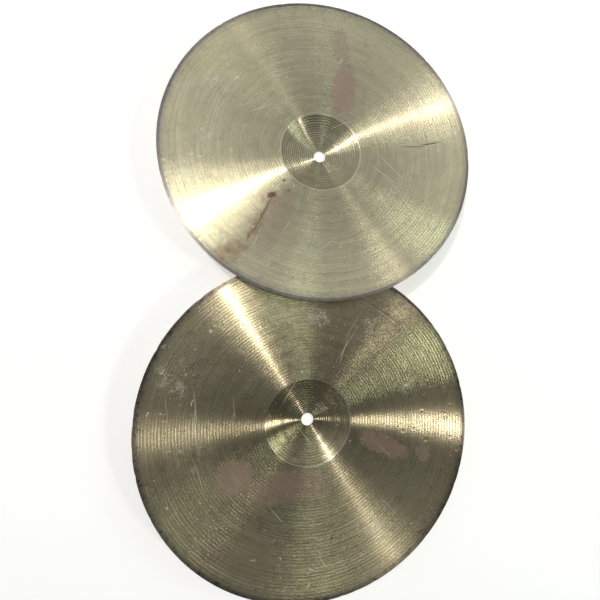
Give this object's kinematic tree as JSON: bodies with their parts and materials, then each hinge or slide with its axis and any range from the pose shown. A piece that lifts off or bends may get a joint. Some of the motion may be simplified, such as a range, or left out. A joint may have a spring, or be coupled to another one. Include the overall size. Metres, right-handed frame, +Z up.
{
  "type": "hand cymbals",
  "caption": "Turned brass hand cymbals lying crown down, the upper leaning on the lower's rim, with open strap holes.",
  "frame": {"origin": "centre of the lower cymbal's strap hole, on the surface that the pair lies on", "axes": "+Z up along the lower cymbal's strap hole, +Y from the lower cymbal towards the upper one"},
  "size_m": [0.356, 0.6665, 0.0347],
  "materials": {
    "lower_brass": "lathed, tarnished and spotted",
    "upper_brass": "lathed, lightly tarnished"
  },
  "bodies": {
    "lower": {"lower_cymbal": "lower_brass"},
    "upper": {"upper_cymbal": "upper_brass"}
  },
  "joints": [
    {"name": "upper_lift", "type": "slide", "parent": "lower", "child": "upper", "axis": [0, 0, 1], "range_m": [0, 0.15]}
  ]
}
